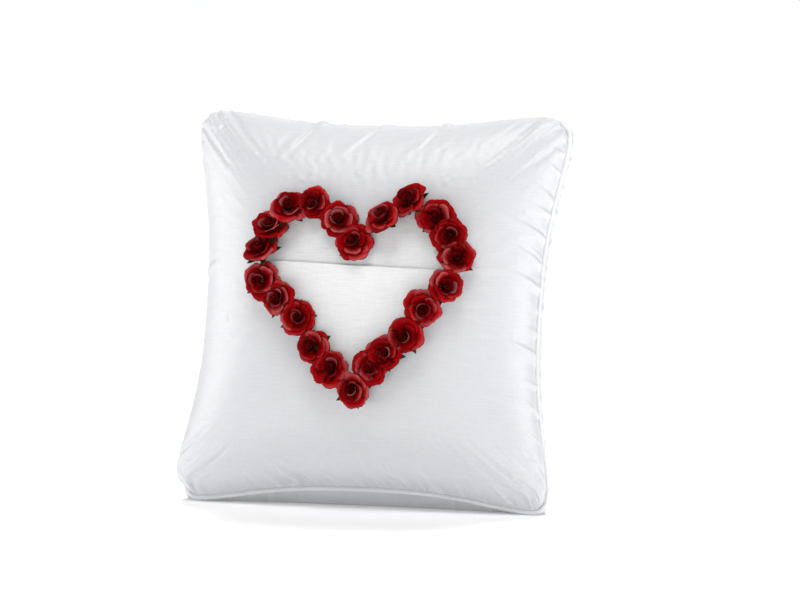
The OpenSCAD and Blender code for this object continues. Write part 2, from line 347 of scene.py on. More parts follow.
# puckers and tucks that the sewing draws into the cloth beside the seam
puckers = dict(
    cornerClear=20 * mm,    # they fade this near the corners
    spread=0.43,            # share of the side that they reach each way from its middle
    bottom=dict(count=15, length=(8, 20), width=(1.7, 2.9), depth=(1.0, 2.2), slant=(-0.6, -0.1), seed=3),
    top=dict(count=13, length=(14, 28), width=(1.6, 3.0), depth=(0.3, 0.8), slant=(-0.7, -0.2), seed=8),
    right=dict(count=13, length=(10, 30), width=(1.6, 3.0), depth=(0.35, 0.9), slant=(0.15, 0.6), seed=5),
    left=dict(count=9, length=(12, 22), width=(1.8, 3.0), depth=(0.05, 0.2), slant=(-0.2, 0.4), seed=14))
# the larger folds: where each meets its seam along the side, then length, width, height and slant
tucks = [
    ("bottom", -25, 26, 3.0, 3.2, -0.6),
    ("bottom", -18, 20, 2.2, 2.0, -0.6),
    ("bottom", 24, 22, 2.6, 2.9, -0.6),
    ("bottom", 9, 24, 2.6, 2.1, -0.35),
    ("bottom", -8, 30, 3.6, 0.9, -0.3),
    ("bottom", 36, 26, 2.6, 1.5, -0.5),
    ("top", -22, 36, 3.0, 1.6, -0.6),
    ("top", 8, 32, 3.2, 1.1, -0.8),
    ("top", 33, 28, 2.8, 0.8, -0.6),
    ("right", 30, 40, 3.0, 1.2, 0.4),
    ("right", 19, 38, 3.0, 1.1, 0.45),
    ("right", 9, 36, 3.0, 1.0, 0.4),
    ("right", -18, 36, 3.6, 1.0, 0.3),
    ("right", 46, 32, 3.0, 0.8, 0.5),
    ("left", 12, 28, 3.4, 0.6, 0.3)]


# the seams that meet each seam at its ends
crossing = dict(bottom=("left", "right"), top=("left", "right"),
                left=("bottom", "top"), right=("bottom", "top"))
# a fold's cross-section, and how it runs out from the seam
foldShape = dict(
    narrow=0.7, widen=0.5,  # its width at the seam, and how much it grows to its end
    sharp=1.5, soft=0.85,   # how steep its right and left sides are
    valley=1.3,             # how deep it dips beside the ridge
    crest=0.16)             # share of its length over which it rises


def heldShare(places, edge, reach):
    # 0 at the two seams that meet this edge's seam, which hold the cloth, and 1 a little way from them
    ends = np.minimum(*(places[other][1] for other in crossing[edge]))
    share = np.clip(ends / reach, 0, 1)
    return share * share * (3 - 2 * share)


def foldHeight(along, away, at, length, width, height, slant):
    # a ridge with a valley on each side, sharper on its right, highest close to the seam
    reach = np.clip(away / length, 0, 1)
    wide = width * (foldShape["narrow"] + foldShape["widen"] * reach)
    q = (along - at - slant * away) / wide
    q = np.where(q > 0, foldShape["sharp"] * q, foldShape["soft"] * q)
    rise = np.clip(reach / foldShape["crest"], 0, 1)
    ridge = height * (1 - foldShape["valley"] * q ** 2) * np.exp(-q ** 2)
    return ridge * rise * rise * (3 - 2 * rise) * (1 - reach) ** 1.5


def fromSeams(grid):
    # each point's place along a side, and how far from that side it is along the cloth
    rows, cols = grid.shape[:2]
    steps = np.linalg.norm(np.diff(grid, axis=0), axis=-1)
    fromBottom = np.concatenate([np.zeros((1, cols)), np.cumsum(steps, axis=0)])
    steps = np.linalg.norm(np.diff(grid, axis=1), axis=-1)
    fromLeft = np.concatenate([np.zeros((rows, 1)), np.cumsum(steps, axis=1)], axis=1)
    return dict(bottom=(grid[..., 0], fromBottom), top=(grid[..., 0], fromBottom[-1:] - fromBottom),
                left=(grid[..., 1], fromLeft), right=(grid[..., 1], fromLeft[:, -1:] - fromLeft))


def bulged(grid, t, side):
    # the cover swells out past its own seam, but its front is drawn up along the bottom
    places = fromSeams(grid)
    swell = {}
    for edge, (_, away) in places.items():
        crest = inflate["footDrawAt"] if edge == "bottom" else inflate["bulgeAt"]
        swell[edge] = away / crest * np.exp(1 - away / crest) * heldShare(places, edge, inflate["seamHold"])
    out = grid.copy()
    for edge, sign in (("right", 1), ("left", -1)):
        across = (inflate["bulge"][side] + inflate["lowBulge"][edge] * np.clip(-t, 0, 1) ** 3
                  + inflate["highBulge"][side] * np.clip(t, 0, 1) ** 3)
        out[..., 0] += sign * across * swell[edge]
    out[..., 1] += inflate["topBulge"] * swell["top"]
    if side == "front":
        out[..., 1] += inflate["footDraw"] * swell["bottom"]
    else:
        near = places["bottom"][1] / inflate["footBackAt"]
        held = heldShare(places, "bottom", inflate["seamHold"])
        out[..., 2] -= inflate["footBack"] * near * np.exp(1 - near) * held
    return out


def puckered(grid, outward, tucked, seed):
    places = fromSeams(grid)
    lift = np.zeros(grid.shape[:2])
    spread = puckers["spread"] * cushion["side"]
    for side, (along, away) in places.items():
        p = puckers[side]
        draw = np.random.default_rng(p["seed"] + seed)
        own = np.zeros_like(lift)
        for k in range(p["count"]):
            at = spread * (2 * (k + draw.uniform(0.15, 0.85)) / p["count"] - 1)
            length, width, height = (draw.uniform(*p[size]) * mm for size in ("length", "width", "depth"))
            own += foldHeight(along, away, at, length, width, height, draw.uniform(*p["slant"]))
        for edge, at, length, width, height, slant in tucked:
            if edge == side:
                own += foldHeight(along, away, at * mm, length * mm, width * mm, height * mm, slant)
        lift += own * heldShare(places, side, puckers["cornerClear"])
    return grid + outward * lift[..., None]


# the front is drawn finer than the back, as its folds are the ones that show
frontS, frontT, frontPlace, backPlace = blowUp()
backS, backT, backPlace = halved(frontS), halved(frontT), halved(backPlace)
frontT, frontPlace = halved(backT), halved(halved(frontPlace))
frontPlace, backPlace = bulged(frontPlace, frontT, "front"), bulged(backPlace, backT, "back")
frontPlace = puckered(frontPlace, gridNormals(frontPlace), tucks, 0)
backPlace = puckered(backPlace, -gridNormals(backPlace), [], 40)
frontPlace[..., 2] += cushion["seamGap"]
backPlace[..., 2] -= cushion["seamGap"]
frontGrid = stand(frontPlace)
backGrid = stand(backPlace)
backGrid[..., 2] -= footDrop(backS, backT)
coverWall = 0.5 * mm
floorGap = 0.05 * mm
backGrid[..., 2] = np.maximum(backGrid[..., 2], floorGap)
frontGrid[..., 2] = np.maximum(frontGrid[..., 2], floorGap)
print("covers shaped:", frontGrid.shape[0], "and", backGrid.shape[0], "rows")


# shader parts that more than one material uses
def nodeGroup(name, inputs, outputs):
    tree = bpy.data.node_groups.new(name, "ShaderNodeTree")
    for label, kind, value in inputs:
        socket = tree.interface.new_socket(label, in_out="INPUT", socket_type=kind)
        if value is not None:
            socket.default_value = value
    for label, kind in outputs:
        tree.interface.new_socket(label, in_out="OUTPUT", socket_type=kind)
    return tree, tree.nodes.new("NodeGroupInput"), tree.nodes.new("NodeGroupOutput")


def nodeOf(tree, kind, inputs=(), **settings):
    # a new node with its settings, each input joined to a socket or set to a value
    node = tree.nodes.new(kind)
    for key, value in settings.items():
        setattr(node, key, value)
    for key, value in dict(inputs).items():
        if isinstance(value, bpy.types.NodeSocket):
            tree.links.new(value, node.inputs[key])
        elif value is not None:
            node.inputs[key].default_value = value
    return node


def mathNode(tree, operation, first, second=None):
    return nodeOf(tree, "ShaderNodeMath", {0: first, 1: second}, operation=operation).outputs[0]


def times(tree, first, second):
    return mathNode(tree, "MULTIPLY", first, second)


def plus(tree, first, second):
    return mathNode(tree, "ADD", first, second)


def noiseNode(tree, vector, scale, detail=3.0, roughness=0.55):
    return nodeOf(tree, "ShaderNodeTexNoise", {"Vector": vector, "Scale": scale, "Detail": detail,
                                               "Roughness": roughness}).outputs["Fac"]


def stretched(tree, vector, scale):
    return nodeOf(tree, "ShaderNodeMapping", {"Vector": vector, "Scale": scale}).outputs["Vector"]


def weaveGroup():
    # yarns that run across and up the cloth, with thick places in them
    tree, given, out = nodeGroup(
        "weave",
        [("Vector", "NodeSocketVector", None), ("Yarns per metre", "NodeSocketFloat", 4000.0),
         ("Slub", "NodeSocketFloat", 0.5)],
        [("Height", "NodeSocketFloat"), ("Streak", "NodeSocketFloat")])
    vector = given.outputs["Vector"]
    split = nodeOf(tree, "ShaderNodeSeparateXYZ", {0: vector})
    turns = times(tree, given.outputs["Yarns per metre"], math.pi)
    weft = mathNode(tree, "ABSOLUTE", mathNode(tree, "SINE", times(tree, split.outputs["Y"], turns)))
    warp = mathNode(tree, "ABSOLUTE", mathNode(tree, "SINE", times(tree, split.outputs["X"], turns)))
    yarn = plus(tree, times(tree, weft, 0.6), times(tree, warp, 0.4))
    long = noiseNode(tree, stretched(tree, vector, (110, 2400, 900)), 1.0, 2.0)
    short = noiseNode(tree, stretched(tree, vector, (1500, 160, 900)), 1.0, 2.0)
    streak = plus(tree, times(tree, long, 0.7), times(tree, short, 0.3))
    thick = times(tree, streak, given.outputs["Slub"])
    height = plus(tree, times(tree, yarn, 0.35), thick)
    tree.links.new(height, out.inputs["Height"])
    tree.links.new(streak, out.inputs["Streak"])
    return tree


weave = weaveGroup()


def newMaterial(name, roughness, specular=0.5):
    material = bpy.data.materials.new(name)
    material.use_nodes = True
    shader = material.node_tree.nodes["Principled BSDF"]
    shader.inputs["Roughness"].default_value = roughness
    shader.inputs["Specular IOR Level"].default_value = specular
    return material, material.node_tree, shader


def rampNode(tree, value, stops):
    node = nodeOf(tree, "ShaderNodeValToRGB", {"Fac": value})
    ramp = node.color_ramp
    while len(ramp.elements) < len(stops):
        ramp.elements.new(0.5)
    for element, (place, colour) in zip(ramp.elements, stops):
        element.position = place
        element.color = (*colour, 1)
    return node.outputs["Color"]


def attributeNode(tree, name):
    return nodeOf(tree, "ShaderNodeAttribute", attribute_name=name).outputs["Fac"]


def bumpNode(tree, shader, height, strength, distance):
    node = nodeOf(tree, "ShaderNodeBump", {"Height": height, "Strength": strength, "Distance": distance})
    tree.links.new(node.outputs["Normal"], shader.inputs["Normal"])


def ownPlace(tree):
    return nodeOf(tree, "ShaderNodeTexCoord").outputs["Object"]


def clothMaterial(name, low, high, roughness, specular, sheen, yarns, slub, strength, depth, onCloth=True):
    material, tree, shader = newMaterial(name, roughness[0], specular)
    shader.inputs["Sheen Weight"].default_value = sheen
    shader.inputs["Sheen Roughness"].default_value = 0.4
    vector = nodeOf(tree, "ShaderNodeUVMap", uv_map="cloth").outputs["UV"] if onCloth else ownPlace(tree)
    woven = nodeOf(tree, "ShaderNodeGroup", {"Vector": vector, "Yarns per metre": yarns, "Slub": slub},
                   node_tree=weave)
    colour = rampNode(tree, woven.outputs["Streak"], [(0.3, low), (0.7, high)])
    tree.links.new(colour, shader.inputs["Base Color"])
    spread = times(tree, woven.outputs["Streak"], roughness[1] - roughness[0])
    tree.links.new(plus(tree, spread, roughness[0]), shader.inputs["Roughness"])
    bumpNode(tree, shader, woven.outputs["Height"], strength, depth)
    return material


satin = clothMaterial(
    "satin", (0.675, 0.68, 0.70), (0.74, 0.745, 0.76), roughness=(0.28, 0.44), specular=0.75, sheen=0.12,
    yarns=5200, slub=0.9, strength=0.35, depth=0.05 * mm)
# the covers' satin, painted lighter: painted light for the light that the round piping catches
litPipingSatin = clothMaterial(
    "litPipingSatin", (0.80, 0.805, 0.82), (0.86, 0.865, 0.88), roughness=(0.34, 0.5), specular=0.5, sheen=0.15,
    yarns=5200, slub=0.9, strength=0.3, depth=0.05 * mm, onCloth=False)
slubWeave = dict(roughness=(0.7, 0.85), specular=0.25, sheen=0.2, yarns=2300, slub=1.0, strength=0.8,
                 depth=0.16 * mm)
slubCloth = clothMaterial("slubCloth", (0.82, 0.82, 0.82), (0.95, 0.95, 0.95), **slubWeave)
# the pocket panel's slub cloth, painted darker: painted shade for the shade that the roses and the pocket's
# fold cast on the backing
shadedBackingCloth = clothMaterial("shadedBackingCloth", (0.74, 0.74, 0.74), (0.88, 0.88, 0.88), **slubWeave)
twistedCord = clothMaterial(
    "twistedCord", (0.7, 0.68, 0.6), (0.85, 0.83, 0.77), roughness=(0.7, 0.9), specular=0.3, sheen=0.2,
    yarns=1800, slub=0.6, strength=0.8, depth=0.2 * mm, onCloth=False)
sewingThread = clothMaterial(
    "sewingThread", (0.8, 0.8, 0.81), (0.88, 0.88, 0.89), roughness=(0.5, 0.6), specular=0.4, sheen=0.1,
    yarns=3000, slub=0.4, strength=0.5, depth=0.05 * mm, onCloth=False)
fibre = clothMaterial(
    "fibre", (0.8, 0.8, 0.79), (0.9, 0.9, 0.88), roughness=(0.8, 0.95), specular=0.3, sheen=0.3,
    yarns=900, slub=1.0, strength=1.0, depth=0.5 * mm, onCloth=False)


def petalMaterial():
    # dyed paper, darker in the heart of the rose with painted shade, and with a painted pinkish highlight
    # where the curled rims catch the light
    material, tree, shader = newMaterial("petalPaper", 0.6, 0.05)
    place = ownPlace(tree)
    mottle = noiseNode(tree, place, 700.0)
    red = rampNode(tree, mottle, [(0.3, (0.32, 0.0, 0.001)), (0.7, (0.45, 0.0, 0.003))])
    # painted shade: the core value darkens the rose towards its heart and each petal towards its foot, where
    # the hollow lies in shade
    coreShade = rampNode(tree, attributeNode(tree, "coreShade"),
                    [(0.0, (1, 1, 1)), (0.5, (0.72, 0.8, 0.8)), (1.0, (0.24, 1.0, 0.4))])
    edge = rampNode(tree, attributeNode(tree, "edge"),
                    [(0.0, (1, 1, 1)), (0.35, (1, 1, 1)), (0.85, (0.3, 0.2, 0.2))])
    # some petals took the dye darker; on the curled outer part of some, a pinkish painted highlight stands
    # for the light that they catch
    dyed = rampNode(tree, attributeNode(tree, "shade"), [(0.0, (0.75, 0.7, 0.7)), (0.5, (1, 1, 1))])
    highlightPatch = times(tree, attributeNode(tree, "rim"), attributeNode(tree, "shade"))
    highlightPatch = times(tree, highlightPatch, plus(tree, noiseNode(tree, place, 260.0), 0.5))
    paintedHighlight = rampNode(tree, highlightPatch,
                    [(0.36, (0, 0, 0)), (0.54, (0.07, 0.03, 0.032)), (0.8, (0.15, 0.085, 0.085))])
    colour = red
    # the painted highlight is added over the red, and the core's painted shade is multiplied in
    for kind, other in (("MULTIPLY", dyed), ("MULTIPLY", coreShade), ("ADD", paintedHighlight), ("MULTIPLY", edge)):
        colour = nodeOf(tree, "ShaderNodeMix", {"Factor": 1.0, "A": colour, "B": other},
                        data_type="RGBA", blend_type=kind).outputs["Result"]
    tree.links.new(colour, shader.inputs["Base Color"])
    fibres = noiseNode(tree, stretched(tree, place, (2500, 900, 2500)), 1.0, 4.0)
    tree.links.new(plus(tree, times(tree, fibres, 0.25), 0.38), shader.inputs["Roughness"])
    bumpNode(tree, shader, fibres, 0.5, 0.12 * mm)
    return material


def speckled(name, low, high, scale, roughness, specular, strength, depth):
    material, tree, shader = newMaterial(name, roughness, specular)
    place = ownPlace(tree)
    noise = noiseNode(tree, place, scale)
    tree.links.new(rampNode(tree, noise, [(0.3, low), (0.7, high)]), shader.inputs["Base Color"])
    bumpNode(tree, shader, noise, strength, depth)
    return material


petalPaper = petalMaterial()
leafPaper = speckled("leafPaper", (0.006, 0.02, 0.004), (0.02, 0.05, 0.01), scale=900.0, roughness=0.6,
                     specular=0.3, strength=0.5, depth=0.1 * mm)
hotGlue = speckled("hotGlue", (0.72, 0.69, 0.58), (0.82, 0.79, 0.68), scale=500.0, roughness=0.25,
                   specular=0.5, strength=0.3, depth=0.1 * mm)
wrappedWire = speckled("wrappedWire", (0.02, 0.05, 0.015), (0.05, 0.10, 0.03), scale=1500.0, roughness=0.6,
                       specular=0.3, strength=0.6, depth=0.08 * mm)
print("materials made")


# covers, and the filling inside them
def coverPiece(name, grid, facingOut):
    normals = gridNormals(grid) * (1 if facingOut else -1)
    inside = grid - normals * coverWall
    if facingOut:
        points, faces = thickSheet(grid, coverWall, back=inside)
    else:
        points, faces = thickSheet(inside, coverWall, back=grid)
    piece = plainMesh(name, points, faces)
    mid = grid.shape[0] // 2
    clothX, clothY = np.meshgrid(runFrom(grid[mid]), runFrom(grid[:, mid]))
    cut = np.dstack([clothX, clothY]).reshape(-1, 2)
    addUv(piece, np.concatenate([cut, cut]))
    finished(piece, satin, "satin", name.replace("Cover", "_cover"))
    return piece


frontCover = coverPiece("frontCover", frontGrid, True)
coverPiece("backCover", backGrid, False)


filling = dict(
    inset=1.6 * mm,         # from the covers' outer faces
    seamInset=0.6 * mm,     # of its edge, from the middle of the seam
    seamHalf=0.1 * mm)      # half its thickness at that edge


def fillPiece():
    inset = filling["inset"]
    shrunk = 1 - inset / (cushion["side"] / 2)
    front, back = frontGrid[::8, ::8], backGrid[::4, ::4]
    front = front - gridNormals(front) * inset
    back = back + gridNormals(back) * inset
    for grid in (front, back):
        flat = lie(grid)
        flat[..., :2] *= shrunk
        grid[:] = stand(flat)
    seam = np.zeros(front.shape[:2], bool)
    seam[[0, -1]] = seam[:, [0, -1]] = True
    between = lie((front[seam] + back[seam]) / 2)
    for grid, side in ((front, 1), (back, -1)):
        edge = between.copy()
        edge[:, :2] *= 1 - filling["seamInset"] / (cushion["side"] / 2)
        edge[:, 2] = side * filling["seamHalf"]
        grid[seam] = stand(edge)
    back[..., 2] = np.maximum(back[..., 2], 2 * coverWall)
    points, faces = thickSheet(front, 0, back=back)
    piece = plainMesh("fibreFill", points, faces)
    finished(piece, fibre, "filling", "fibre_filling")
    return piece


fillPiece()
print("covers and filling made")


# what follows a line is a tube made by this tree: the piping and the roses' wires
def treeBase(name, inputs):
    tree = bpy.data.node_groups.new(name, "GeometryNodeTree")
    tree.interface.new_socket("Geometry", in_out="INPUT", socket_type="NodeSocketGeometry")
    for label, kind, value in inputs:
        socket = tree.interface.new_socket(label, in_out="INPUT", socket_type=kind)
        if value is not None:
            socket.default_value = value
    tree.interface.new_socket("Geometry", in_out="OUTPUT", socket_type="NodeSocketGeometry")
    return tree, tree.nodes.new("NodeGroupInput"), tree.nodes.new("NodeGroupOutput")


def treeEnd(tree, given, out, geometry):
    real = nodeOf(tree, "GeometryNodeRealizeInstances", {"Geometry": geometry})
    finish = nodeOf(tree, "GeometryNodeSetMaterial", {"Geometry": real.outputs["Geometry"],
                                                      "Material": given.outputs["Material"]})
    tree.links.new(finish.outputs["Geometry"], out.inputs["Geometry"])


def tubeTree():
    tree, given, out = treeBase("tubeAlong", [
        ("Thickness", "NodeSocketFloat", 0.002), ("Step", "NodeSocketFloat", 0.001),
        ("Sides", "NodeSocketInt", 12), ("Unevenness", "NodeSocketFloat", 0.0001),
        ("Lump size", "NodeSocketFloat", 400.0),
        ("Material", "NodeSocketMaterial", None)])
    take = given.outputs
    even = nodeOf(tree, "GeometryNodeResampleCurve", {"Curve": take["Geometry"], "Length": take["Step"]},
                  mode="LENGTH")
    ring = nodeOf(tree, "GeometryNodeCurvePrimitiveCircle",
                  {"Resolution": take["Sides"], "Radius": times(tree, take["Thickness"], 0.5)})
    tube = nodeOf(tree, "GeometryNodeCurveToMesh", {
        "Curve": even.outputs["Curve"], "Profile Curve": ring.outputs["Curve"], "Fill Caps": True})
    lumps = nodeOf(tree, "ShaderNodeTexNoise", {"Scale": take["Lump size"]}).outputs["Fac"]
    push = times(tree, mathNode(tree, "SUBTRACT", lumps, 0.5), take["Unevenness"])
    outward = nodeOf(tree, "GeometryNodeInputNormal").outputs["Normal"]
    along = nodeOf(tree, "ShaderNodeVectorMath", {0: outward, "Scale": push}, operation="SCALE")
    moved = nodeOf(tree, "GeometryNodeSetPosition", {"Geometry": tube.outputs["Mesh"],
                                                     "Offset": along.outputs["Vector"]})
    soft = nodeOf(tree, "GeometryNodeSetShadeSmooth", {"Geometry": moved.outputs["Geometry"]})
    treeEnd(tree, given, out, soft.outputs["Geometry"])
    return tree


def linesObject(name, lines, closed):
    curve = bpy.data.curves.new(name, "CURVE")
    curve.dimensions = "3D"
    for line in lines:
        spline = curve.splines.new("POLY")
        spline.points.add(len(line) - 1)
        places = np.column_stack([line, np.ones(len(line))])
        spline.points.foreach_set("co", places.astype(np.float32).ravel())
        spline.use_cyclic_u = closed
    thing = bpy.data.objects.new(name, curve)
    bpy.context.scene.collection.objects.link(thing)
    return thing


def grown(source, tree, values, name):
    # puts a tree on an object, sets its inputs, and keeps the result as a plain mesh
    modifier = source.modifiers.new("grow", "NODES")
    modifier.node_group = tree
    for item in tree.interface.items_tree:
        if item.item_type == "SOCKET" and item.in_out == "INPUT" and item.name in values:
            modifier[item.identifier] = values[item.name]
    source.update_tag()
    bpy.context.view_layer.update()
    depsgraph = bpy.context.evaluated_depsgraph_get()
    mesh = bpy.data.meshes.new_from_object(source.evaluated_get(depsgraph), depsgraph=depsgraph)
    bpy.data.objects.remove(source, do_unlink=True)
    mesh.name = name
    piece = bpy.data.objects.new(name, mesh)
    bpy.context.scene.collection.objects.link(piece)
    return piece


tubeAlong = tubeTree()


def tubePiece(name, lines, closed, material, slot, node, size):
    values = {"Thickness": size["thickness"], "Step": size["step"], "Sides": size["sides"],
              "Unevenness": size["unevenness"], "Lump size": size["lumps"], "Material": material}
    tube = grown(linesObject(name + "Line", lines, closed), tubeAlong, values, name)
    return finished(tube, None, slot, node)


def seamLine(inset=0.0, perSide=60):
    # round the seam, one side after another
    steps = evenSteps(perSide)[:-1]
    ones = np.ones(perSide)
    s = np.concatenate([steps, ones, -steps, -ones])
    t = np.concatenate([-ones, steps, ones, -steps])
    flat = plan(s, t, inset)
    return stand(np.column_stack([flat, np.zeros(len(flat))]))


piping = dict(thickness=2 * mm, step=0.9 * mm, sides=16, unevenness=0.16 * mm, lumps=420.0)
cord = dict(thickness=1.3 * mm, step=1.2 * mm, sides=10, unevenness=0.1 * mm, lumps=900.0)
thread = dict(thickness=0.3 * mm, step=1.2 * mm, sides=6, unevenness=0.03 * mm, lumps=900.0,
              inset=1.5 * mm)       # the sewing runs this far inside the piping's middle line
tubePiece("pipingSleeve", [seamLine()], True, litPipingSatin, "satin", "piping_sleeve", piping)
tubePiece("pipingCord", [seamLine()], True, twistedCord, "cord", "piping_cord", cord)
tubePiece("seamThread", [seamLine(thread["inset"])], True, sewingThread, "thread", "seam_thread", thread)
print("piping, cord and thread made")


# heart pocket
heart = dict(
    halfWidth=43 * mm, height=45 * mm,                 # of the line that the roses follow
    rise=9 * mm, across=2 * mm,                        # its middle from the pillow's middle
    outset=2.2 * mm,        # how far the cloth runs out under the roses
    mouth=16 * mm,          # the pocket's mouth above the pillow's middle
    mouthSlope=-0.027,      # it was set a little askew
    hem=7 * mm,             # cloth turned in behind the mouth
    fold=0.35 * mm,         # radius of the mouth's fold
    slack=0.3 * mm,         # how far the mouth stands open
    clothThick=0.3 * mm,
    backingLift=0.45 * mm,
    panelLift=0.9 * mm)


def heartLine(angle):
    return np.stack([heart["across"] - heart["halfWidth"] * np.sin(angle) ** 3,
                     heart["rise"] + heart["height"] / 16 * (13 * np.cos(angle) - 5 * np.cos(2 * angle)
                                                            - 1.6 * np.cos(3 * angle))], -1)


def heartEdge(count):
    angle = np.linspace(0, 2 * math.pi, count, endpoint=False)
    line = heartLine(angle)
    along = unit(np.roll(line, -1, 0) - np.roll(line, 1, 0))
    return line + heart["outset"] * np.stack([along[:, 1], -along[:, 0]], -1)


clearOut = 0.2              # metres, well in front of the cover
frontTree = BVHTree.FromPolygons(frontGrid.reshape(-1, 3).tolist(), gridFaces(*frontGrid.shape[:2]))


def onFront(across, up):
    # the place on the front cover at (across, up), and which way the cover faces there
    far = stand(np.array([across, up, clearOut]))
    place, normal, _, _ = frontTree.ray_cast(Vector(far), Vector(-outDir))
    return np.array(place), np.array(normal)


def smoothFront(across, up, reach=5 * mm):
    # the same, over a small patch, for what is stiffer than the cover
    found = [onFront(across + reach * math.cos(a), up + reach * math.sin(a))
             for a in np.linspace(0, 2 * math.pi, 8, endpoint=False)]
    place, _ = onFront(across, up)
    normal = unit(sum(n for _, n in found))
    return place, normal if normal @ outDir > 0 else -normal


def laidOn(flat, lift):
    out = np.empty(flat.shape[:2] + (3,))
    for j, row in enumerate(flat):
        for i, (across, up) in enumerate(row):
            place, _ = onFront(across, up)
            out[j, i] = place + outDir * lift[j, i]
    return out


edgeCount = 360
edgeLine = heartEdge(edgeCount)


def halfWidthAt(up):
    # half the heart cloth's width at a height below its notch
    side = edgeLine[edgeCount // 4: edgeCount // 2 + 1]
    side = side[np.argsort(side[:, 1])]
    return np.interp(up, side[:, 1], np.abs(side[:, 0] - heart["across"]))


def backingPiece():
    # rings of the heart drawn in to a seam line up its middle
    rings, turns = 26, 180
    line = edgeLine[::edgeCount // turns]
    ridge = np.column_stack([np.full(turns, heart["across"]),
                             np.clip(line[:, 1], edgeLine[:, 1].min() * 0.5, edgeLine[0, 1] - 6 * mm)])
    share = np.linspace(0.0, 1, rings)[:, None, None]
    flat = ridge + (line - ridge) * share
    grid = laidOn(flat, np.full(flat.shape[:2], heart["backingLift"]))
    count = rings * turns
    down = grid - outDir * heart["clothThick"]
    points = np.concatenate([grid.reshape(-1, 3), down.reshape(-1, 3)])
    # the line runs anticlockwise, so outward rings turn the faces over
    top = [face[::-1] for face in gridFaces(rings, turns, closed=True)]
    under = [tuple(v + count for v in face[::-1]) for face in top]
    outer = (rings - 1) * turns
    rim = [(outer + i, outer + i + count, outer + (i + 1) % turns + count, outer + (i + 1) % turns)
           for i in range(turns)]
    piece = plainMesh("heartBacking", points, top + under + rim)
    merged(piece, 0.001 * mm)   # both halves of the innermost ring lie on the middle line
    addUv(piece, lie(placesOf(piece))[:, :2])
    finished(piece, shadedBackingCloth, "slub_cloth", "heart_backing")
    return piece


def panelPiece():
    cols = 73
    tip = edgeLine[:, 1].min() + 1.2 * mm
    mouth, fold = heart["mouth"], heart["fold"]
    base = heart["panelLift"]
    turnIn = [(mouth - d, base) for d in np.linspace(heart["hem"], 0.4 * mm, 8)]
    bend = [(mouth + fold * math.cos(a), base + fold + fold * math.sin(a)) for a in np.linspace(-1.2, 1.2, 7)]
    face = [(up, base + 2 * fold) for up in np.linspace(mouth - 0.5 * mm, tip, 64)]
    profile = turnIn + bend + face
    across = np.sin(np.linspace(-math.pi / 2, math.pi / 2, cols))
    flat, lift = np.empty((len(profile), cols, 2)), np.empty((len(profile), cols))
    for j, (up, off) in enumerate(profile):
        high = np.clip((up - tip) / (mouth - tip), 0, 1)
        sag = 0.5 * mm * (1 - across ** 2) * high ** 6      # the mouth dips a little at its middle
        wide = across * halfWidthAt(min(up, mouth))
        flat[j] = np.column_stack([heart["across"] + wide, up - sag + heart["mouthSlope"] * wide * high ** 3])
        lift[j] = off + heart["slack"] * (1 - across ** 2) * high ** 4 - 0.5 * mm * (1 - high)
    grid = laidOn(flat, lift)
    # the hem's rows run up behind the face, so the sheet's outer side is found at the face
    points, faces = thickSheet(grid[::-1], heart["clothThick"])
    piece = plainMesh("pocketPanel", points, faces)
    run = np.array([up if j >= len(turnIn) else 2 * mouth - up for j, (up, _) in enumerate(profile)])
    cut = np.dstack([flat[..., 0], np.repeat(run[:, None], cols, 1)])[::-1].reshape(-1, 2)
    addUv(piece, np.concatenate([cut, cut]))
    finished(piece, slubCloth, "slub_cloth", "pocket_panel")
    ups = np.linspace(tip, mouth, 200)
    wide, tall = 2 * halfWidthAt(ups).max(), mouth - tip + heart["hem"]
    return piece


backingPiece()
panelPiece()
print("heart pocket made")


# roses: petals wrapped round the middle, repeated in whorls by a tree
rose = dict(
    # each whorl's core value is painted shade, larger the deeper the whorl sits in the rose
    outer=dict(count=5, half=0.82, base=(1.6, 1.4), waist=(4.6, 3.6), crest=(6.9, 4.7), tip=(8.1, 2.9),
               overlap=0.5, coreShade=0.0, notch=0.12, wave=0.55),
    middle=dict(count=4, half=0.86, base=(1.3, 1.8), waist=(3.6, 4.2), crest=(5.2, 5.6), tip=(6.3, 5.3),
                overlap=0.5, coreShade=0.2, notch=0.10, wave=0.5),
    inner=dict(count=3, half=1.15, base=(1.0, 2.2), waist=(2.2, 4.8), crest=(2.9, 6.5), tip=(3.5, 6.9),
               overlap=0.5, coreShade=0.7, notch=0.06, wave=0.35),
    petalWall=0.16,         # millimetres, as are the radius and height pairs above
    across=9, up=10,        # steps on a petal
    budTurns=2.1, budRadius=(0.35, 1.9), budFoot=2.4, budHeight=(6.3, 5.9),
    looseness=0.2,          # how unevenly the petals are set
    scale=(1.0, 1.08),      # smallest and largest rose
    gap=0.15 * mm,          # under the calyx
    tilt=0.26,              # most that a rose leans from the cloth's normal, in radians
    # roses that were glued down with more of a lean, rightward and upward
    leans={"rose_04": (0.25, 0.3), "rose_05": (0.05, 0.5), "rose_06": (-0.1, 0.5), "rose_15": (0, -0.2),
           "rose_17": (0.45, 0.0), "rose_18": (0.05, 0.36), "rose_19": (0.0, -0.34), "rose_21": (-0.3, 0.3),
           "rose_22": (-0.26, 0.34)},
    clear=2.4 * mm)         # a leaning rose's low petals come down this far before it is lifted


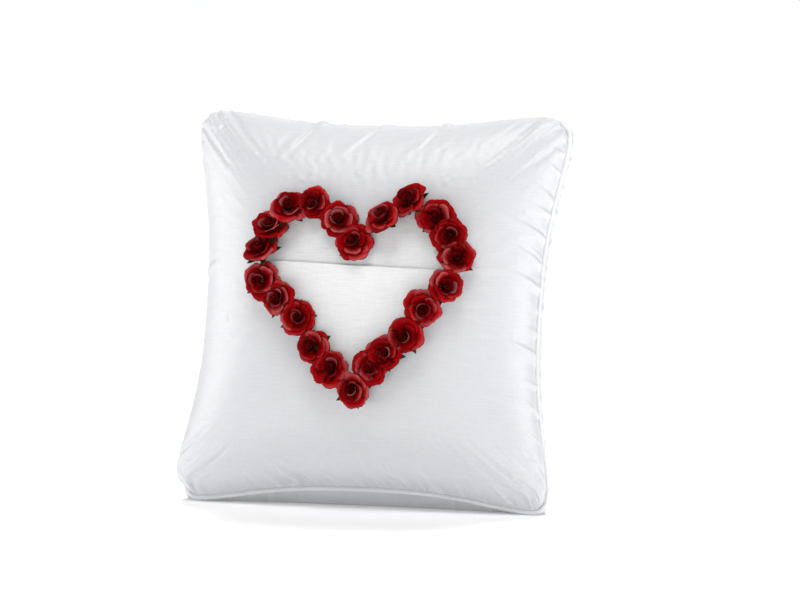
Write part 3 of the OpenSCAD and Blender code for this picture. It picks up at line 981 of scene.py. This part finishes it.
def petalObject(name, p, draw):
    across, up = rose["across"], rose["up"]
    u, v = np.meshgrid(np.linspace(-1, 1, across), np.linspace(0, 1, up))
    knots = np.array([p["base"], p["waist"], p["crest"], p["tip"]])
    weights = np.stack([(1 - v) ** 3, 3 * v * (1 - v) ** 2, 3 * v ** 2 * (1 - v), v ** 3], -1)
    profile = weights @ knots
    notchAt = draw.uniform(-0.35, 0.35)
    rounding = (1 - 0.34 * np.abs(u) ** 3 * v ** 2
                - p["notch"] * np.exp(-((u - notchAt) / 0.25) ** 2) * v ** 6)
    radius = knots[0, 0] + (profile[..., 0] - knots[0, 0]) * rounding + p["overlap"] * 0.5 * u * v
    cupped = 0.55 * np.abs(u) ** 2.2 * v * (1 - 0.35 * v)
    ripple = p["wave"] * np.sin(draw.uniform(3, 6) * u + draw.uniform(0, 6.28)) * v ** 3
    height = profile[..., 1] + cupped - 0.25 * np.abs(u) ** 4 * v + ripple
    width = p["half"] * (0.8 + 0.32 * np.sin(np.minimum(v * 1.25, 1) * math.pi / 2) - 0.16 * v ** 5)
    angle = u * width * draw.uniform(0.92, 1.08)
    grid = np.dstack([radius * np.cos(angle), radius * np.sin(angle), height])
    points, faces = thickSheet(grid, rose["petalWall"])
    piece = plainMesh(name, points * mm, faces)
    edge = np.maximum(np.abs(u) ** 5, v ** 9)
    # the core value is painted shade, more for inner whorls and towards each petal's foot
    for label, values in (("rim", v), ("edge", edge), ("coreShade", np.full_like(v, p["coreShade"]) + 0.35 * (1 - v))):
        addValue(piece, label, np.clip(np.concatenate([values.ravel(), values.ravel()]), 0, 1))
    return piece


def budObject(name, draw):
    # a strip of paper rolled up, its edge higher at the outside
    turns, steps, rows = rose["budTurns"], 44, 6
    w = np.linspace(0, 1, steps)
    angle = 2 * math.pi * turns * w
    wave = 1 + 0.06 * np.sin(3 * angle + draw.uniform(0, 6))
    low, high = rose["budRadius"]
    radius = (low + (high - low) * w) * wave
    inner, outer = rose["budHeight"]
    tops = inner + (outer - inner) * w + 0.25 * np.sin(2.5 * angle)
    share = np.linspace(0, 1, rows)[:, None]
    spread = 0.8 + 0.28 * share ** 2
    grid = np.dstack([radius * spread * np.cos(angle), radius * spread * np.sin(angle),
                      rose["budFoot"] + (tops - rose["budFoot"]) * share])
    points, faces = thickSheet(grid, rose["petalWall"])
    piece = plainMesh(name, points * mm, faces)
    rim = np.repeat(share, steps, 1)
    # the bud sits deepest, so its core value paints the most shade on it
    for label, values in (("rim", 0.92 * rim), ("edge", 0 * rim), ("coreShade", 1 - 0.2 * rim ** 6),
                          ("shade", 0.4 + 0 * rim)):
        addValue(piece, label, np.concatenate([values.ravel(), values.ravel()]))
    return piece


def whorlTree():
    kinds = ("Outer", "Middle", "Inner")
    inputs = []
    for kind in kinds:
        inputs += [(kind + " petal", "NodeSocketObject", None), (kind + " count", "NodeSocketInt", 5),
                   (kind + " turn", "NodeSocketFloat", 0.0)]
    inputs += [("Looseness", "NodeSocketFloat", 0.1), ("Seed", "NodeSocketInt", 0),
               ("Material", "NodeSocketMaterial", None)]
    tree, given, out = treeBase("petalWhorls", inputs)
    link = tree.links.new
    joined = tree.nodes.new("GeometryNodeJoinGeometry")
    link(given.outputs["Geometry"], joined.inputs["Geometry"])

    def randomFloat(low, high, seedStep):
        seed = plus(tree, given.outputs["Seed"], seedStep)
        return nodeOf(tree, "FunctionNodeRandomValue", {2: low, 3: high, "Seed": seed},
                      data_type="FLOAT").outputs[1]

    loose = given.outputs["Looseness"]
    tight = times(tree, loose, -1.0)
    for number, kind in enumerate(kinds):
        count = given.outputs[kind + " count"]
        source = nodeOf(tree, "GeometryNodeObjectInfo", {"Object": given.outputs[kind + " petal"]})
        line = nodeOf(tree, "GeometryNodeMeshLine", {"Offset": (0, 0, 0), "Count": count})
        index = nodeOf(tree, "GeometryNodeInputIndex").outputs["Index"]
        share = mathNode(tree, "DIVIDE", times(tree, index, 2 * math.pi), count)
        angle = plus(tree, share, given.outputs[kind + " turn"])
        turned = nodeOf(tree, "ShaderNodeCombineXYZ", {
            "X": times(tree, randomFloat(tight, loose, 10 * number + 2), 0.5),
            "Y": times(tree, randomFloat(tight, loose, 10 * number + 3), 0.8),
            "Z": plus(tree, angle, randomFloat(tight, loose, 10 * number + 1))})
        placed = nodeOf(tree, "GeometryNodeInstanceOnPoints", {
            "Points": line.outputs["Mesh"], "Instance": source.outputs["Geometry"],
            "Rotation": turned.outputs["Vector"], "Scale": randomFloat(0.9, 1.06, 10 * number + 4)})
        shaded = nodeOf(tree, "GeometryNodeStoreNamedAttribute", {
            "Name": "shade", "Geometry": placed.outputs["Instances"],
            "Value": randomFloat(0.0, 1.0, 10 * number + 5)}, data_type="FLOAT", domain="INSTANCE")
        link(shaded.outputs["Geometry"], joined.inputs["Geometry"])
    treeEnd(tree, given, out, joined.outputs["Geometry"])
    return tree


petalWhorls = whorlTree()


def frameAt(place, normal, tilt, spin):
    # x, y and z directions of a rose that leans from the cloth's normal
    side = unit(np.cross(upDir, normal))
    up = np.cross(normal, side)
    lean = unit(normal + math.tan(tilt[0]) * side + math.tan(tilt[1]) * up)
    x = unit(np.cross(up, lean))
    y = np.cross(lean, x)
    return np.stack([x * math.cos(spin) + y * math.sin(spin), y * math.cos(spin) - x * math.sin(spin), lean])


def movedTo(piece, axes, place):
    points = placesOf(piece) @ axes + place
    piece.data.vertices.foreach_set("co", points.astype(np.float32).ravel())
    piece.data.update()


calyx = dict(sepals=5, reach=7.7, width=1.3, wall=0.22, foot=0.55, stalk=1.5, top=1.9)


def capFaces(rows, turns, first):
    # rings joined one above another and closed at both ends
    last = first + (rows - 1) * turns
    return (gridFaces(rows, turns, first, closed=True)
            + [tuple(range(first + turns - 1, first - 1, -1)), tuple(range(last, last + turns))])


def calyxPoints(draw):
    # five pointed leaves round a small cup, as closed shells, in millimetres
    points, faces = [], []
    for k in range(calyx["sepals"]):
        u, v = np.meshgrid(np.linspace(-1, 1, 5), np.linspace(0, 1, 9))
        turn = 2 * math.pi * k / calyx["sepals"] + draw.uniform(-0.15, 0.15)
        reach = calyx["reach"] * draw.uniform(0.8, 1.2)
        half = calyx["width"] * (0.45 + 0.75 * np.sin(0.8 * np.pi * v)) * (1.02 - v ** 4)
        x = 0.8 + (reach - 0.8) * v
        curl = draw.uniform(-0.5, 0.9) * v ** 3
        z = calyx["foot"] + 0.7 * v + curl - 0.25 * np.abs(u) * (1 - v) + 0.15 * np.abs(u)
        grid = np.dstack([x * math.cos(turn) - u * half * math.sin(turn),
                          x * math.sin(turn) + u * half * math.cos(turn), z])
        leaf, leafFaces = thickSheet(grid, calyx["wall"])
        faces += [tuple(i + len(points) for i in face) for face in leafFaces]
        points += leaf.tolist()
    ring = np.linspace(0, 2 * math.pi, 14, endpoint=False)
    stalk, top = calyx["stalk"], calyx["top"]
    rows = [(0.05, 0.2), (stalk * 0.7, 0.2), (stalk, 0.9), (stalk * 1.15, top), (0.05, top)]
    cup = np.array([[(r * math.cos(a), r * math.sin(a), z) for a in ring] for r, z in rows])
    faces += capFaces(len(rows), len(ring), len(points))
    points += cup.reshape(-1, 3).tolist()
    return np.array(points), faces


wire = dict(thickness=0.7 * mm, step=0.3 * mm, sides=10, unevenness=0.06 * mm, lumps=1500.0,
            # from inside the calyx down to the cloth and along it, in millimetres
            bend=((0, 0, 2.6), (0, 0, 1.2), (0.5, 0.1, 0.75), (2.0, 0.5, 0.62), (4.6, 0.4, 0.62)))
glue = dict(
    radius=1.7, turns=20,
    # its rows from the cloth up, as a share of the radius and a height
    rows=((0.02, 0.0), (0.9, 0.0), (1.0, 0.12), (0.86, 0.4), (0.6, 0.62), (0.3, 0.72), (0.02, 0.74)),
    sunk=0.1 * mm)          # it soaks this far into the cloth, and the wire lies as far above
names = sorted(name for name in frame["nodes"] if name.startswith("rose_") and name != "rose_wires")
petalKinds = ("outer", "middle", "inner")
glueLumps, wireLines = [], []
for number, name in enumerate(names):
    draw = np.random.default_rng(200 + number)
    low, high = (np.array(c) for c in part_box(name.replace("rose", "calyx")))
    across, up, _ = lie((low + high) / 2)
    ground, normal = smoothFront(across, up)
    lift = heart["backingLift"] + (heart["panelLift"] + 2 * heart["fold"] if up < heart["mouth"] else 0)
    tilt = draw.uniform(-rose["tilt"], rose["tilt"], 2)
    tilt = np.array(rose["leans"].get(name, tilt))
    axes = frameAt(ground, normal, tilt, draw.uniform(0, 2 * math.pi))
    lowered = rose["outer"]["tip"][0] * mm * math.sin(min(1, np.hypot(*tilt)))
    foot = ground + normal * (lift + rose["gap"] + max(0, lowered - rose["clear"]))
    petals = {kind: petalObject(kind + "Petal", rose[kind], draw) for kind in petalKinds}
    bud = budObject("budWork", draw)
    values = {"Looseness": rose["looseness"], "Seed": 31 * number + 7, "Material": petalPaper}
    for kind, petal in petals.items():
        values[kind.title() + " petal"] = petal
        values[kind.title() + " count"] = rose[kind]["count"]
    values["Outer count"] += int(draw.integers(0, 2))
    for kind in petalKinds:
        values[kind.title() + " turn"] = float(draw.uniform(0, 6.28))
    bloom = grown(bud, petalWhorls, values, name.replace("rose_", "paperRose_"))
    for petal in petals.values():
        bpy.data.objects.remove(petal, do_unlink=True)
    movedTo(bloom, axes * draw.uniform(*rose["scale"]), foot)
    bloom.data.polygons.foreach_set("use_smooth", [True] * len(bloom.data.polygons))
    finished(bloom, None, "petal_paper", name)
    points, faces = calyxPoints(draw)
    leaves = plainMesh(name.replace("rose_", "paperCalyx_"), points * mm, faces)
    movedTo(leaves, axes, foot)
    finished(leaves, leafPaper, "leaf_paper", name.replace("rose", "calyx"))
    flatAxes = frameAt(ground, normal, (0, 0), draw.uniform(0, 6.28))
    glueLumps.append((flatAxes, ground + normal * (lift - glue["sunk"]), draw))
    wireLines.append(np.array(wire["bend"]) * mm @ flatAxes + ground + normal * (lift + glue["sunk"]))
print("roses made:", len(names))


def gluePiece():
    points, faces = [], []
    ring = np.linspace(0, 2 * math.pi, glue["turns"], endpoint=False)
    for axes, place, draw in glueLumps:
        edge = glue["radius"] * (1 + 0.12 * np.sin(2 * ring + draw.uniform(0, 6))
                                 + 0.07 * np.sin(3 * ring + draw.uniform(0, 6)))
        lump = np.array([[(share * e * math.cos(a), share * e * math.sin(a), z) for a, e in zip(ring, edge)]
                         for share, z in glue["rows"]])
        faces += capFaces(len(glue["rows"]), glue["turns"], len(points))
        points += (lump.reshape(-1, 3) * mm @ axes + place).tolist()
    finished(plainMesh("glueSpots", points, faces), hotGlue, "glue", "glue_spots")


gluePiece()
tubePiece("roseWires", wireLines, False, wrappedWire, "wire", "rose_wires", wire)
print("glue and wires made")

# floor, lights and camera
studio = dict(floorHalf=16.0, floorGlow=0.12, world=0.16, sun=3.15, sunAngle=36, sunPlace=(-0.2, 2.3, 3))
# each soft box's place, its width and height, and its power
boxes = dict(
    leftBox=((-1.4, -0.25, 0.38), (0.9, 0.7), 6.0),
    rightBox=((1.25, -0.25, 0.42), (0.8, 0.75), 5.6),
    topBox=((0.0, -0.6, 1.6), (1.0, 0.6), 12.5),
    frontBox=((0.3, -2.0, 0.35), (1.4, 0.6), 2.6))
half = studio["floorHalf"]
floor = plainMesh("floor", [(-half, -half, 0), (half, -half, 0), (half, half, 0), (-half, half, 0)],
                  [(0, 1, 2, 3)], smooth=False)
floorPaint, _, floorShader = newMaterial("floorPaint", 0.9, 0.1)
floorShader.inputs["Base Color"].default_value = (0.95, 0.95, 0.955, 1)
floorShader.inputs["Emission Color"].default_value = (1, 1, 1, 1)
floorShader.inputs["Emission Strength"].default_value = studio["floorGlow"]
floor.data.materials.append(floorPaint)

world = bpy.data.worlds.new("studioWorld")
world.use_nodes = True
sky = world.node_tree.nodes["Background"]
sky.inputs["Color"].default_value = (0.97, 0.98, 1.0, 1)
sky.inputs["Strength"].default_value = studio["world"]
bpy.context.scene.world = world


def aimed(thing, place, target):
    thing.location = place
    thing.rotation_euler = (Vector(target) - Vector(place)).to_track_quat("-Z", "Y").to_euler()
    bpy.context.scene.collection.objects.link(thing)


def softbox(name, place, size, watts):
    light = bpy.data.lights.new(name, "AREA")
    light.shape = "RECTANGLE"
    light.size, light.size_y = size
    light.energy = watts
    aimed(bpy.data.objects.new(name, light), place, (0, 0, 0.08))


sunLight = bpy.data.lights.new("overhead", "SUN")
sunLight.energy = studio["sun"]
sunLight.angle = math.radians(studio["sunAngle"])
sun = bpy.data.objects.new("overhead", sunLight)
sun.visible_glossy = False
aimed(sun, studio["sunPlace"], (0, 0, 0))
for name, box in boxes.items():
    softbox(name, *box)

view = dict(azimuth=19.0, elevation=5.15, distance=2.525, lens=273.8, target=(0.0172, -0.0170, 0.0876))
camera = bpy.data.objects.new("camera", bpy.data.cameras.new("camera"))
camera.data.lens = view["lens"]
camera.data.sensor_width = 36
camera.data.clip_start, camera.data.clip_end = 0.1, 100
a, e = math.radians(view["azimuth"]), math.radians(view["elevation"])
away = np.array([math.sin(a) * math.cos(e), -math.cos(a) * math.cos(e), math.sin(e)]) * view["distance"]
aimed(camera, tuple(np.array(view["target"]) + away), view["target"])
bpy.context.scene.camera = camera
bpy.context.scene.view_settings.view_transform = "Standard"
print("stage set")
